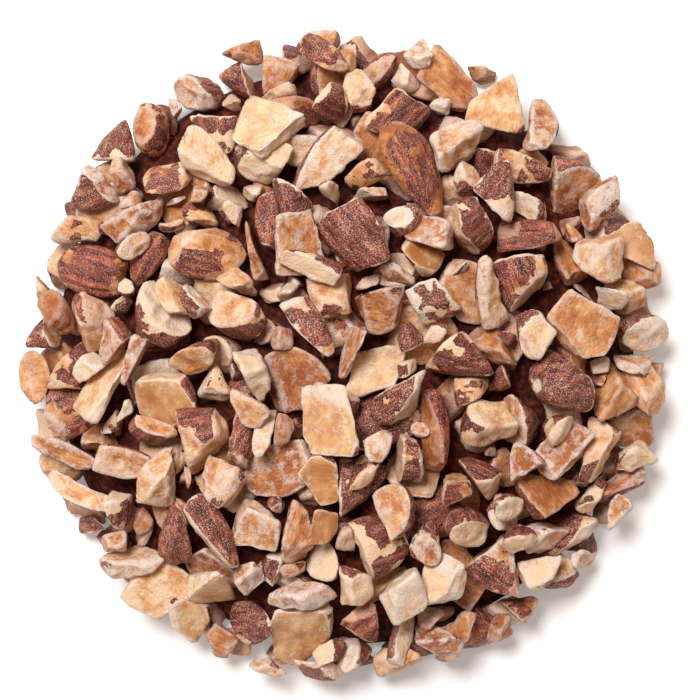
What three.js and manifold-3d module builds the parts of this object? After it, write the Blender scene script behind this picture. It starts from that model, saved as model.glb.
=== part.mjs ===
// A low round heap of chopped butter toffee almonds, as one solid out to its uneven outline.
// Millimetres, +Z up, with the origin at the middle of the flat underside.
import * as THREE from "three";
import { ConvexGeometry } from "three/addons/geometries/ConvexGeometry.js";
import { mergeVertices } from "three/addons/utils/BufferGeometryUtils.js";
import Module from "manifold-3d";

const HEAP = { radius: 57, height: 22.5, rim: 8, power: 3.2 };
const KERNEL = { length: 22.5, width: 11.4, thickness: 7.8 };

// The mound of crumbs that the pieces are laid on, so deep under the heap's surface, with sloping banks
const BED = { radius: 51, depth: 9, edge: 1, slope: 1.2 };

// The solid under the outer pieces, and how far each of them is carried down into it
const BODY = { depth: 3, inset: 2.5, rings: 6, segments: 36 };
const FOOT = 4;

// How each kind of piece is cut from a kernel. start and run are shares of its length, across and deep
// are what is kept of its width and thickness, from -1 to 1, and slant is how far the cuts lean.
const KINDS = {
  tip: {
    share: 0.13, start: [0.58, 0.7], run: [1, 1],
    across: [-1, 1], deep: [-1, 1], slant: 0.5,
  },
  butt: {
    share: 0.09, start: [-1, -1], run: [1.26, 1.38],
    across: [-1, 1], deep: [-1, 1], slant: 0.5,
  },
  slice: {
    share: 0.05, start: [0.2, 0.45], run: [0.2, 0.3],
    across: [-1, 1], deep: [-1, 1], slant: 0.45,
  },
  half: {
    share: 0.15, start: [0.05, 0.4], run: [0.3, 0.5],
    across: [-1, 1], deep: [0, 1], slant: 0.5,
  },
  long: {
    share: 0.03, start: [0.02, 0.12], run: [0.75, 0.9],
    across: [-1, 1], deep: [0, 1], slant: 0.4,
  },
  stick: {
    share: 0.13, start: [0.05, 0.3], run: [0.35, 0.65],
    across: [0.2, 1], deep: [-0.2, 1], slant: 0.3,
  },
  block: {
    share: 0.31, start: [0.15, 0.5], run: [0.22, 0.34],
    across: [-0.2, 1], deep: [-0.5, 0.7], slant: 0.5,
  },
  flake: {
    share: 0.11, start: [0.1, 0.35], run: [0.35, 0.55],
    across: [-0.7, 0.8], deep: [-0.1, 0.35], slant: 0.35,
  },
};
const CUT_WANDER = 0.15;

// The corners knocked off each piece, and how deep as shares of its size that way
const CHIPS = 2;
const CHIP_DEPTH = [0.1, 0.28];

// A piece longer than this share of the kernel has its outside made of flats at two places, not one
const LONG_PIECE = 0.42;

// Which side of a piece is up: degrees about the kernel's length, then about its width
const FACES = {
  skin: [0, 0],
  inner: [180, 0],
  edge: [90, 0],
  shoulder: [45, 0],
  brow: [-50, 0],
  end: [0, 80],
  foot: [0, -80],
};

// The pieces that lie on top: kind, east and north of the middle as shares of the radius, heading of
// the kernel's length in degrees, the side that is up, and size
const LEADS = [
  ["tip", -0.32, 0.86, 160, "skin", 1],
  ["slice", -0.44, 0.78, 60, "end", 1],
  ["tip", -0.35, 0.67, -100, "skin", 1],
  ["butt", -0.55, 0.66, 10, "end", 0.95],
  ["tip", -0.69, 0.65, 60, "skin", 1.05],
  ["block", -0.17, 0.83, 80, "inner", 1.15],
  ["half", -0.06, 0.8, 80, "inner", 1.05],
  ["tip", 0.14, 0.91, 170, "foot", 1],
  ["block", -0.12, 0.61, 0, "inner", 1.35],
  ["half", -0.75, 0.46, 20, "skin", 1.2],
  ["half", -0.47, 0.53, 0, "brow", 1],
  ["tip", -0.34, 0.48, 200, "brow", 1],
  ["slice", -0.51, 0.41, 90, "shoulder", 1],
  ["long", -0.39, 0.29, 3, "skin", 1.1],
  ["long", -0.74, 0.26, -20, "skin", 0.95],
  ["stick", -0.22, 0.41, 90, "edge", 1],
  ["half", 0.03, 0.33, -50, "shoulder", 1.15],
  ["half", -0.33, 0.13, -35, "shoulder", 1.15],
  ["butt", -0.9, 0.17, 150, "brow", 1],
  ["block", -0.05, 0.19, 5, "inner", 1.2],
  ["stick", -0.1, 0.1, -48, "skin", 1.05],
  ["tip", -0.91, 0.04, 180, "shoulder", 1],
  ["flake", 0.36, 0.85, -60, "inner", 1.1],
  ["half", 0.16, 0.75, 20, "skin", 1.05],
  ["half", 0.48, 0.76, 85, "inner", 1.15],
  ["long", 0.22, 0.55, -84, "brow", 1.05],
  ["slice", 0.61, 0.67, 50, "skin", 1],
  ["tip", 0.42, 0.55, -80, "inner", 1],
  ["half", 0.65, 0.53, -12, "inner", 1.25],
  ["block", 0.79, 0.47, 40, "inner", 1.2],
  ["tip", 0.52, 0.41, -90, "skin", 0.95],
  ["slice", 0.37, 0.37, 20, "shoulder", 1.05],
  ["half", 0.17, 0.31, -30, "inner", 1.05],
  ["slice", 0.47, 0.22, -60, "shoulder", 1.3],
  ["half", 0.26, 0.18, 10, "shoulder", 1],
  ["stick", 0.64, 0.31, -70, "inner", 1.1],
  ["block", 0.89, 0.27, 90, "inner", 1.3],
  ["half", 0.69, 0.12, 65, "inner", 1.3],
  ["slice", 0.93, 0.08, 80, "end", 0.95],
  ["block", 0.1, 0.12, 10, "inner", 1.35],
  ["half", -0.53, -0.12, 75, "inner", 1.3],
  ["tip", -0.39, -0.08, 85, "skin", 0.95],
  ["half", -0.84, -0.14, 20, "skin", 1.15],
  ["half", -0.12, -0.05, -55, "inner", 1.3],
  ["long", -0.19, -0.34, 14, "inner", 0.98],
  ["flake", -0.1, -0.4, 25, "inner", 1.05],
  ["half", -0.28, -0.51, 75, "inner", 1.05],
  ["stick", -0.4, -0.49, -62, "skin", 1.25],
  ["stick", -0.21, -0.55, 75, "skin", 0.95],
  ["slice", -0.86, -0.33, 40, "end", 0.9],
  ["flake", -0.61, -0.68, -20, "inner", 1.5],
  ["flake", -0.49, -0.74, 80, "inner", 1],
  ["slice", -0.08, -0.6, 30, "end", 0.95],
  ["flake", -0.1, -0.81, 60, "inner", 1.45],
  ["half", -0.09, -0.93, 15, "shoulder", 1],
  ["half", -0.25, -0.81, 20, "skin", 0.95],
  ["flake", 0.11, -0.03, 0, "inner", 1.15],
  ["slice", 0.18, -0.32, -10, "shoulder", 1.15],
  ["half", 0.88, -0.19, -15, "inner", 1.05],
  ["slice", 0.73, -0.27, -20, "skin", 1.1],
  ["half", 0.88, -0.34, 60, "brow", 1],
  ["half", 0.41, -0.33, -20, "brow", 1.1],
  ["slice", 0.35, -0.46, 60, "end", 1],
  ["half", 0.13, -0.55, 10, "skin", 1.15],
  ["half", 0.6, -0.4, -50, "inner", 1.15],
  ["stick", 0.7, -0.48, 90, "inner", 1.15],
  ["half", 0.44, -0.61, -25, "skin", 1.15],
  ["half", 0.28, -0.65, -20, "inner", 1.1],
  ["half", 0.1, -0.82, 60, "skin", 1.1],
  ["butt", 0.36, -0.79, 90, "skin", 1],
  ["tip", 0.54, -0.74, 40, "skin", 1],
];
const LEAD_SIZE = 0.86;

// The stages of the heap: how many pieces are tried, how far under the mound's surface it stops, how far
// a piece may stand past that, the range of sizes, and the range of distances from the middle
const BURIED = { tries: 120, below: 4, over: 1, size: [0.9, 1.1], from: 0, to: 54 };
const TOP = { below: 0, over: 3 };
const RIM = { tries: 170, below: 0, over: 3, size: [0.95, 1.15], from: 50.5, to: 54.5 };
const UPPER = { tries: 220, below: 0, over: 3.5, size: [1.1, 1.35], from: 0, to: 54 };
const GAPS = { tries: 160, below: 0, over: 3, size: [0.65, 0.9], from: 0, to: 54 };

// How pieces fall, rock and settle
const FALLS = 30;
const ROCKS = 18;
const CALMING = 0.8;
const LOOSE = { lean: 0.25, slide: 1.4 };
const FIRM = { lean: 0.08, slide: 0.8 };
const SHRINKS = 2;
const SHRINK = 0.86;
const LEAD_SHRINK = 0.9;
const BEDDING = 0.5;
const PAST_EDGE = 1;
const PAST_EDGE_COST = 6;
const COVER = 0.3;

// The grid that the heap's height is kept on
const CELL = 0.5;

// How much of a piece shows from above, in square millimetres, for it to be part of the solid, and how
// far its faces may move where slivers are merged
const LEAST_SHOWN = 18;
const MERGE = 0.3;

const SEED = 7;
const TINY = 1e-6;

function randomSource(seed) {
  let state = seed >>> 0;
  return () => {
    state = (state + 0x6d2b79f5) >>> 0;
    let t = state;
    t = Math.imul(t ^ (t >>> 15), t | 1);
    t ^= t + Math.imul(t ^ (t >>> 7), t | 61);
    return ((t ^ (t >>> 14)) >>> 0) / 2 ** 32;
  };
}
const random = randomSource(SEED);
const between = (low, high) => low + (high - low) * random();
const either = (amount) => between(-amount, amount);

// A kernel's half width at a share s of its length, blunt at the start and pointed at the end, at most 1
const taper = (s) => 2.436 * s ** 0.5 * (1 - s) ** 0.85;
const taperSlope = (s) => taper(s) * (0.5 / s - 0.85 / (1 - s));

function plane(normal, point) {
  const n = new THREE.Vector3(...normal).normalize();
  return { normal: n, distance: n.dot(new THREE.Vector3(...point)) };
}

// The plane that touches the kernel at a share of its length and a turn about it
function tangentPlane(s, turn) {
  const across = KERNEL.width / 2;
  const deep = KERNEL.thickness / 2;
  const t = taper(s);
  return plane(
    [-taperSlope(s) / KERNEL.length, Math.cos(turn) / across, Math.sin(turn) / deep],
    [KERNEL.length * (s - 0.5), across * t * Math.cos(turn), deep * t * Math.sin(turn)],
  );
}

// The planes that bound one piece: its cuts, and the kernel's outside as 6 to 8 flats
function chop(kind) {
  const start = between(...kind.start);
  const end = start + between(...kind.run);
  const from = Math.max(start, 0);
  const to = Math.min(end, 1);
  const slant = () => either(kind.slant);
  const planes = [
    plane([-1, from > 0 ? slant() : 0, from > 0 ? slant() : 0], [KERNEL.length * (from - 0.5), 0, 0]),
    plane([1, to < 1 ? slant() : 0, to < 1 ? slant() : 0], [KERNEL.length * (to - 0.5), 0, 0]),
  ];
  const sides = [
    { kept: kind.across[0], way: -1, axis: 1, half: KERNEL.width / 2 },
    { kept: kind.across[1], way: 1, axis: 1, half: KERNEL.width / 2 },
    { kept: kind.deep[0], way: -1, axis: 2, half: KERNEL.thickness / 2 },
    { kept: kind.deep[1], way: 1, axis: 2, half: KERNEL.thickness / 2 },
  ];
  for (const { kept, way, axis, half } of sides) {
    if (Math.abs(kept) >= 1) continue;
    const normal = [slant(), slant(), slant()];
    normal[axis] = way;
    const point = [KERNEL.length * ((from + to) / 2 - 0.5), 0, 0];
    point[axis] = (kept + either(CUT_WANDER)) * half;
    planes.push(plane(normal, point));
  }
  const stations = to - from > LONG_PIECE ? [0.22, 0.78] : [0.5];
  const turns = stations.length > 1 ? 4 : 6;
  stations.forEach((share, i) => {
    for (let k = 0; k < turns; k++) {
      planes.push(tangentPlane(from + (to - from) * share, (2 * Math.PI * (k + 0.5 * i + 0.25)) / turns));
    }
  });
  return planes;
}

// The points where three planes meet inside all the others
function cornersOf(planes) {
  const corners = [];
  for (let i = 0; i < planes.length; i++) {
    for (let j = i + 1; j < planes.length; j++) {
      for (let k = j + 1; k < planes.length; k++) {
        const [a, b, c] = [planes[i], planes[j], planes[k]];
        const point = new THREE.Vector3().crossVectors(b.normal, c.normal);
        const volume = point.dot(a.normal);
        if (Math.abs(volume) < 1e-3) continue;
        point.multiplyScalar(a.distance);
        point.addScaledVector(new THREE.Vector3().crossVectors(c.normal, a.normal), b.distance);
        point.addScaledVector(new THREE.Vector3().crossVectors(a.normal, b.normal), c.distance);
        point.divideScalar(volume);
        if (planes.every((p) => p.normal.dot(point) <= p.distance + TINY)) corners.push(point);
      }
    }
  }
  return corners;
}

// A cut across whichever corner or edge of a piece faces a random way
function chip(corners) {
  const normal = new THREE.Vector3(either(1), either(1), either(1)).normalize();
  const heights = corners.map((p) => p.dot(normal));
  const top = Math.max(...heights);
  const distance = top - between(...CHIP_DEPTH) * (top - Math.min(...heights));
  return { normal, distance };
}

// One piece about the middle of its corners
function makePiece(name, size) {
  const planes = chop(KINDS[name]);
  let corners = cornersOf(planes);
  for (let k = 0; k < CHIPS; k++) {
    planes.push(chip(corners));
    corners = cornersOf(planes);
  }
  const middle = new THREE.Vector3();
  corners.forEach((p) => middle.addScaledVector(p, 1 / corners.length));
  corners.forEach((p) => p.sub(middle));
  planes.forEach((p) => (p.distance -= p.normal.dot(middle)));
  const piece = { planes, corners, reach: Math.max(...corners.map((p) => p.length())) };
  scalePiece(piece, size);
  return piece;
}

function scalePiece(piece, by) {
  piece.corners.forEach((p) => p.multiplyScalar(by));
  piece.planes.forEach((p) => (p.distance *= by));
  piece.reach *= by;
}

function pickKind() {
  let left = random();
  for (const [name, kind] of Object.entries(KINDS)) {
    left -= kind.share;
    if (left < 0) return name;
  }
  return "block";
}

function moundHeight(r) {
  return HEAP.rim + (HEAP.height - HEAP.rim) * (1 - Math.min(r / HEAP.radius, 1) ** HEAP.power);
}

function bedHeight(r) {
  const bank = BED.edge + BED.slope * (BED.radius - r);
  return r > BED.radius ? 0 : Math.min(moundHeight(r) - BED.depth, bank);
}

// The heap so far, seen from above: its height in each cell of the grid, and which piece is on top there
const HALF_GRID = Math.ceil(HEAP.radius / CELL) + 8;
const GRID = 2 * HALF_GRID + 1;
const surface = new Float64Array(GRID * GRID);
const owner = new Int32Array(GRID * GRID).fill(-1);
for (let j = 0; j < GRID; j++) {
  for (let i = 0; i < GRID; i++) {
    surface[j * GRID + i] = bedHeight(Math.hypot(i - HALF_GRID, j - HALF_GRID) * CELL);
  }
}
const heap = [];

// Calls each(cell, underside, top, distance from the middle) for every cell that a turned piece is over
function overFootprint(piece, turn, x, y, each) {
  const normals = piece.planes.map((p) => p.normal.clone().applyQuaternion(turn));
  const [i0, i1] = [x - piece.reach, x + piece.reach].map((v) => Math.round(v / CELL) + HALF_GRID);
  const [j0, j1] = [y - piece.reach, y + piece.reach].map((v) => Math.round(v / CELL) + HALF_GRID);
  for (let j = Math.max(j0, 0); j <= Math.min(j1, GRID - 1); j++) {
    const cy = (j - HALF_GRID) * CELL;
    for (let i = Math.max(i0, 0); i <= Math.min(i1, GRID - 1); i++) {
      const cx = (i - HALF_GRID) * CELL;
      let low = -Infinity;
      let high = Infinity;
      normals.forEach((n, k) => {
        const room = piece.planes[k].distance - n.x * (cx - x) - n.y * (cy - y);
        if (n.z > TINY) high = Math.min(high, room / n.z);
        else if (n.z < -TINY) low = Math.max(low, room / n.z);
        else if (room < 0) low = Infinity;
      });
      if (high > low) each(j * GRID + i, low, high, Math.hypot(cx, cy));
    }
  }
}

// Where a turned piece comes to rest at x, y, bedded a little into what it lies on. Reaching past the
// heap's edge costs as height does.
function rest(piece, turn, x, y) {
  let z = -Math.min(...piece.corners.map((p) => p.clone().applyQuaternion(turn).z));
  let past = 0;
  overFootprint(piece, turn, x, y, (cell, low, high, r) => {
    z = Math.max(z, surface[cell] - BEDDING - low);
    past = Math.max(past, r - HEAP.radius);
  });
  return { turn, x, y, z, past, cost: z + PAST_EDGE_COST * past };
}

// Rocks and slides a piece, ever more calmly, keeping each move that brings it lower
function rock(piece, start, { lean, slide }) {
  let best = start;
  for (let k = 0; k < ROCKS; k++) {
    const calm = 1 - (CALMING * k) / ROCKS;
    const nudge = new THREE.Quaternion(
      either(lean * calm),
      either(lean * calm),
      either(lean * calm),
      1,
    ).normalize();
    const x = best.x + either(slide * calm);
    const y = best.y + either(slide * calm);
    const next = rest(piece, best.turn.clone().premultiply(nudge), x, y);
    if (next.cost < best.cost) best = next;
  }
  return best;
}

function anyTurn() {
  const [a, b, c] = [random(), 2 * Math.PI * random(), 2 * Math.PI * random()];
  return new THREE.Quaternion(
    Math.sqrt(1 - a) * Math.sin(b),
    Math.sqrt(1 - a) * Math.cos(b),
    Math.sqrt(a) * Math.sin(c),
    Math.sqrt(a) * Math.cos(c),
  );
}

// Tries falls over a ring of the heap and keeps the one that ends deepest under the mound's surface
function fall(piece, from, to) {
  let best;
  let deepest = Infinity;
  for (let k = 0; k < FALLS; k++) {
    const r = Math.sqrt(between(from ** 2, to ** 2));
    const way = 2 * Math.PI * random();
    const next = rest(piece, anyTurn(), r * Math.cos(way), r * Math.sin(way));
    const depth = next.cost - moundHeight(r);
    if (depth < deepest) {
      best = next;
      deepest = depth;
    }
  }
  return rock(piece, best, LOOSE);
}

// Whether a piece keeps to the mound and the heap's edge, and leaves the lead pieces in sight
function fits(piece, pose, leads, { below, over }) {
  if (pose.past > PAST_EDGE) return false;
  let highest = -Infinity;
  let cells = 0;
  let covered = 0;
  overFootprint(piece, pose.turn, pose.x, pose.y, (cell, low, high, r) => {
    highest = Math.max(highest, pose.z + high - moundHeight(r));
    cells++;
    if (owner[cell] >= leads.first && owner[cell] <= leads.last) covered++;
  });
  return highest <= over - below && covered <= COVER * cells;
}

function lay(piece, pose) {
  overFootprint(piece, pose.turn, pose.x, pose.y, (cell, low, high) => {
    if (pose.z + high <= surface[cell]) return;
    surface[cell] = pose.z + high;
    owner[cell] = heap.length;
  });
  heap.push({ ...piece, ...pose });
}

// Lays the piece if it fits, and else makes it smaller and tries again
function settle(piece, pose, leads, stage, by, motion) {
  for (let k = 0; k < SHRINKS; k++) {
    if (fits(piece, pose, leads, stage)) {
      lay(piece, pose);
      return;
    }
    scalePiece(piece, by);
    pose = rock(piece, rest(piece, pose.turn, pose.x, pose.y), motion);
  }
}

function fill(stage, leads) {
  for (let k = 0; k < stage.tries; k++) {
    const piece = makePiece(pickKind(), between(...stage.size));
    settle(piece, fall(piece, stage.from, stage.to), leads, stage, SHRINK, LOOSE);
  }
}

function layLeads() {
  const leads = { first: heap.length, last: Infinity };
  const axes = [new THREE.Vector3(0, 0, 1), new THREE.Vector3(1, 0, 0), new THREE.Vector3(0, 1, 0)];
  for (const [kind, east, north, heading, side, size] of LEADS) {
    const piece = makePiece(kind, size * LEAD_SIZE);
    const turn = new THREE.Quaternion();
    [heading, ...FACES[side]].forEach((degrees, k) => {
      turn.multiply(new THREE.Quaternion().setFromAxisAngle(axes[k], THREE.MathUtils.degToRad(degrees)));
    });
    const start = rest(piece, turn, east * HEAP.radius, north * HEAP.radius);
    settle(piece, rock(piece, start, FIRM), leads, TOP, LEAD_SHRINK, FIRM);
  }
  leads.last = heap.length - 1;
  return leads;
}

fill(BURIED, { first: 0, last: -1 });
const leads = layLeads();
fill(RIM, leads);
fill(UPPER, leads);
fill(GAPS, leads);

const wasm = await Module();
wasm.setup();

function solidOf(geometry) {
  geometry.deleteAttribute("normal");
  geometry.deleteAttribute("uv");
  const merged = mergeVertices(geometry);
  return new wasm.Manifold(
    new wasm.Mesh({
      numProp: 3,
      vertProperties: merged.attributes.position.array,
      triVerts: new Uint32Array(merged.index.array),
    }),
  );
}

function geometryOf(solid) {
  const mesh = solid.getMesh();
  return new THREE.BufferGeometry()
    .setAttribute("position", new THREE.BufferAttribute(mesh.vertProperties, 3))
    .setIndex(new THREE.BufferAttribute(mesh.triVerts, 1));
}

function bodyGeometry() {
  const radius = HEAP.radius - BODY.inset;
  const profile = [new THREE.Vector2(0, 0), new THREE.Vector2(radius, 0)];
  for (let k = 0; k <= BODY.rings; k++) {
    const r = radius * Math.sqrt(1 - k / BODY.rings);
    profile.push(new THREE.Vector2(r, moundHeight(r) - BODY.depth));
  }
  return new THREE.LatheGeometry(profile, BODY.segments).rotateX(Math.PI / 2);
}

// A piece with its foot, which goes straight down from it and no lower than the floor
function pieceGeometry({ corners, turn, x, y, z }) {
  const outer = corners.map((p) => p.clone().applyQuaternion(turn).add(new THREE.Vector3(x, y, z)));
  const foot = outer.map((p) => new THREE.Vector3(p.x, p.y, Math.max(p.z - FOOT, 0)));
  return new ConvexGeometry([...outer, ...foot]);
}

// The body with every piece that shows from above, without the hollows that they close off, moved so
// that its box is centred on the origin
function heapSolid() {
  const cells = new Int32Array(heap.length);
  owner.forEach((n) => n >= 0 && cells[n]++);
  let solid = solidOf(bodyGeometry());
  heap.forEach((piece, n) => {
    if (cells[n] * CELL ** 2 >= LEAST_SHOWN) solid = solid.add(solidOf(pieceGeometry(piece)));
  });
  const [outer] = solid.decompose().sort((a, b) => b.volume() - a.volume());
  const plain = outer.simplify(MERGE);
  const { min, max } = plain.boundingBox();
  return plain.translate([-(min[0] + max[0]) / 2, -(min[1] + max[1]) / 2, 0]);
}

const almondHeap = new THREE.Mesh(
  geometryOf(heapSolid()),
  new THREE.MeshStandardMaterial({ color: 0xb9835f, roughness: 0.55, metalness: 0 }),
);
almondHeap.name = "almond_heap";

const group = new THREE.Group();
group.add(almondHeap);

export default group;
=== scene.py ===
"""A low heap of roughly chopped, toffee-roasted almonds: every piece is cut from a whole kernel."""
import math
from functools import cache
from itertools import combinations

import bpy
import numpy as np
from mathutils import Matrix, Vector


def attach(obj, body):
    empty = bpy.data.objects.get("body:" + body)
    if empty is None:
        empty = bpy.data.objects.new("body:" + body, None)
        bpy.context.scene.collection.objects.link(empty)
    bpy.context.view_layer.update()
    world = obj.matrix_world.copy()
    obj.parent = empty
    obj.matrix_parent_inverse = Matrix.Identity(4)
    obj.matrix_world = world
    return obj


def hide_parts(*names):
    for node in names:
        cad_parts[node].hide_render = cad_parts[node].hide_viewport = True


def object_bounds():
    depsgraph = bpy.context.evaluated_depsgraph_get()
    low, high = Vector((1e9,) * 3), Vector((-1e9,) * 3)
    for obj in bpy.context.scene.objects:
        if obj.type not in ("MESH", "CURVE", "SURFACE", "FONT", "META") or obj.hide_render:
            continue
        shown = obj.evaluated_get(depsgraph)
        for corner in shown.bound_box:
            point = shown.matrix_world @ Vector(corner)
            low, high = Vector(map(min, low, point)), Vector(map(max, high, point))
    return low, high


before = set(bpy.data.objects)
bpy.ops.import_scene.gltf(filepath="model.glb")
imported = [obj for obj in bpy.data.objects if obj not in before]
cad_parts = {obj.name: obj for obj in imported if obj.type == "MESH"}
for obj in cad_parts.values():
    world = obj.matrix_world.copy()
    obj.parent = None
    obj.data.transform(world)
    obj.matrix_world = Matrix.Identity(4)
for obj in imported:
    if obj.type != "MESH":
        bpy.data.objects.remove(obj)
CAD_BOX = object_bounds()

# --- The heap, laid piece by piece in millimetres from the same dimensions as the solid ---

HEAP = {"radius": 57, "height": 22.5, "rim": 8, "power": 3.2}

# A kernel, and its outline: blunt at one end, pointed at the other, filled out to its whole width
KERNEL = {"length": 22.5, "width": 11.4, "thickness": 7.8}
BLUNT = 0.5
POINTED = 0.85
FILLED = 2.436

# The mound of crumbs that the pieces lie on, so deep under the heap's surface, with sloping banks
BED = {"radius": 51, "depth": 9, "edge": 1, "slope": 1.2}

# How each kind of piece is cut from a kernel: its share of the pieces, where along the kernel its
# cut starts and how far it runs, what is kept across and through the kernel, and how far the cuts
# lean. Start and run are shares of the length. Across and deep go from -1 to 1.
CUTS = ("share", "start", "run", "across", "deep", "slant")
KINDS = {name: dict(zip(CUTS, values)) for name, *values in (
    ("tip", 0.13, (0.58, 0.7), (1, 1), (-1, 1), (-1, 1), 0.5),
    ("butt", 0.09, (-1, -1), (1.26, 1.38), (-1, 1), (-1, 1), 0.5),
    ("slice", 0.05, (0.2, 0.45), (0.2, 0.3), (-1, 1), (-1, 1), 0.45),
    ("half", 0.15, (0.05, 0.4), (0.3, 0.5), (-1, 1), (0, 1), 0.5),
    ("long", 0.03, (0.02, 0.12), (0.75, 0.9), (-1, 1), (0, 1), 0.4),
    ("stick", 0.13, (0.05, 0.3), (0.35, 0.65), (0.2, 1), (-0.2, 1), 0.3),
    ("block", 0.31, (0.15, 0.5), (0.22, 0.34), (-0.2, 1), (-0.5, 0.7), 0.5),
    ("flake", 0.11, (0.1, 0.35), (0.35, 0.55), (-0.7, 0.8), (-0.1, 0.35), 0.35),
)}

# How far a cut along the kernel strays, as a share of the kernel's half width or thickness
CUT_WANDER = 0.15

# The kinds whose cut through the thickness follows the natural split, so that it is smooth
SPLIT_KINDS = ("half", "long", "flake")

# The corners knocked off each piece, and how deep as shares of its size that way
CHIPS = 2
CHIP_DEPTH = (0.1, 0.28)

# The flats that stand for the kernel's outside: where along a piece they touch it, and how many
# there are around it. The first is a quarter of a flat round, and those at the second place half a
# flat further. A long piece takes up more than this share of the kernel.
LONG_PIECE = 0.42
LONG_FLATS = {"places": (0.22, 0.78), "around": 4}
SHORT_FLATS = {"places": (0.5,), "around": 6}
FIRST_FLAT = 0.25
SECOND_PLACE = 0.5

# Which side of a piece is up: degrees about the kernel's length, then about its width
FACES = {
    "skin": (0, 0),
    "inner": (180, 0),
    "edge": (90, 0),
    "shoulder": (45, 0),
    "brow": (-50, 0),
    "end": (0, 80),
    "foot": (0, -80),
}

# The pieces that lie on top: kind, east and north of the middle as shares of the radius, heading
# of the kernel's length in degrees, the side that is up, and size
LEADS = [
    ("tip", -0.32, 0.86, 160, "skin", 1),
    ("slice", -0.44, 0.78, 60, "end", 1),
    ("tip", -0.35, 0.67, -100, "skin", 1),
    ("butt", -0.55, 0.66, 10, "end", 0.95),
    ("tip", -0.69, 0.65, 60, "skin", 1.05),
    ("block", -0.17, 0.83, 80, "inner", 1.15),
    ("half", -0.06, 0.8, 80, "inner", 1.05),
    ("tip", 0.14, 0.91, 170, "foot", 1),
    ("block", -0.12, 0.61, 0, "inner", 1.35),
    ("half", -0.75, 0.46, 20, "skin", 1.2),
    ("half", -0.47, 0.53, 0, "brow", 1),
    ("tip", -0.34, 0.48, 200, "brow", 1),
    ("slice", -0.51, 0.41, 90, "shoulder", 1),
    ("long", -0.39, 0.29, 3, "skin", 1.1),
    ("long", -0.74, 0.26, -20, "skin", 0.95),
    ("stick", -0.22, 0.41, 90, "edge", 1),
    ("half", 0.03, 0.33, -50, "shoulder", 1.15),
    ("half", -0.33, 0.13, -35, "shoulder", 1.15),
    ("butt", -0.9, 0.17, 150, "brow", 1),
    ("block", -0.05, 0.19, 5, "inner", 1.2),
    ("stick", -0.1, 0.1, -48, "skin", 1.05),
    ("tip", -0.91, 0.04, 180, "shoulder", 1),
    ("flake", 0.36, 0.85, -60, "inner", 1.1),
    ("half", 0.16, 0.75, 20, "skin", 1.05),
    ("half", 0.48, 0.76, 85, "inner", 1.15),
    ("long", 0.22, 0.55, -84, "brow", 1.05),
    ("slice", 0.61, 0.67, 50, "skin", 1),
    ("tip", 0.42, 0.55, -80, "inner", 1),
    ("half", 0.65, 0.53, -12, "inner", 1.25),
    ("block", 0.79, 0.47, 40, "inner", 1.2),
    ("tip", 0.52, 0.41, -90, "skin", 0.95),
    ("slice", 0.37, 0.37, 20, "shoulder", 1.05),
    ("half", 0.17, 0.31, -30, "inner", 1.05),
    ("slice", 0.47, 0.22, -60, "shoulder", 1.3),
    ("half", 0.26, 0.18, 10, "shoulder", 1),
    ("stick", 0.64, 0.31, -70, "inner", 1.1),
    ("block", 0.89, 0.27, 90, "inner", 1.3),
    ("half", 0.69, 0.12, 65, "inner", 1.3),
    ("slice", 0.93, 0.08, 80, "end", 0.95),
    ("block", 0.1, 0.12, 10, "inner", 1.35),
    ("half", -0.53, -0.12, 75, "inner", 1.3),
    ("tip", -0.39, -0.08, 85, "skin", 0.95),
    ("half", -0.84, -0.14, 20, "skin", 1.15),
    ("half", -0.12, -0.05, -55, "inner", 1.3),
    ("long", -0.19, -0.34, 14, "inner", 0.98),
    ("flake", -0.1, -0.4, 25, "inner", 1.05),
    ("half", -0.28, -0.51, 75, "inner", 1.05),
    ("stick", -0.4, -0.49, -62, "skin", 1.25),
    ("stick", -0.21, -0.55, 75, "skin", 0.95),
    ("slice", -0.86, -0.33, 40, "end", 0.9),
    ("flake", -0.61, -0.68, -20, "inner", 1.5),
    ("flake", -0.49, -0.74, 80, "inner", 1),
    ("slice", -0.08, -0.6, 30, "end", 0.95),
    ("flake", -0.1, -0.81, 60, "inner", 1.45),
    ("half", -0.09, -0.93, 15, "shoulder", 1),
    ("half", -0.25, -0.81, 20, "skin", 0.95),
    ("flake", 0.11, -0.03, 0, "inner", 1.15),
    ("slice", 0.18, -0.32, -10, "shoulder", 1.15),
    ("half", 0.88, -0.19, -15, "inner", 1.05),
    ("slice", 0.73, -0.27, -20, "skin", 1.1),
    ("half", 0.88, -0.34, 60, "brow", 1),
    ("half", 0.41, -0.33, -20, "brow", 1.1),
    ("slice", 0.35, -0.46, 60, "end", 1),
    ("half", 0.13, -0.55, 10, "skin", 1.15),
    ("half", 0.6, -0.4, -50, "inner", 1.15),
    ("stick", 0.7, -0.48, 90, "inner", 1.15),
    ("half", 0.44, -0.61, -25, "skin", 1.15),
    ("half", 0.28, -0.65, -20, "inner", 1.1),
    ("half", 0.1, -0.82, 60, "skin", 1.1),
    ("butt", 0.36, -0.79, 90, "skin", 1),
    ("tip", 0.54, -0.74, 40, "skin", 1),
]
LEAD_SIZE = 0.86

# The stages of the heap: how many pieces are tried, how far under the mound's surface it stops, how
# far a piece may stand past that, the range of sizes, and the range of distances from the middle
BURIED = dict(tries=120, below=4, over=1, size=(0.9, 1.1), reach=(0, 54))
TOP = dict(below=0, over=3)
RIM = dict(tries=170, below=0, over=3, size=(0.95, 1.15), reach=(50.5, 54.5))
UPPER = dict(tries=220, below=0, over=3.5, size=(1.1, 1.35), reach=(0, 54))
GAPS = dict(tries=160, below=0, over=3, size=(0.65, 0.9), reach=(0, 54))

# Broken pieces and small bits that fill the hollows between the others
BROKEN = dict(tries=150, below=1, over=0, size=(0.5, 0.8), reach=(0, 54))
INNER = BROKEN | dict(tries=260, reach=(0, 44))
BITS = dict(tries=300, below=2.6, over=0, size=(0.42, 0.65), reach=(0, 46))

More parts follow.
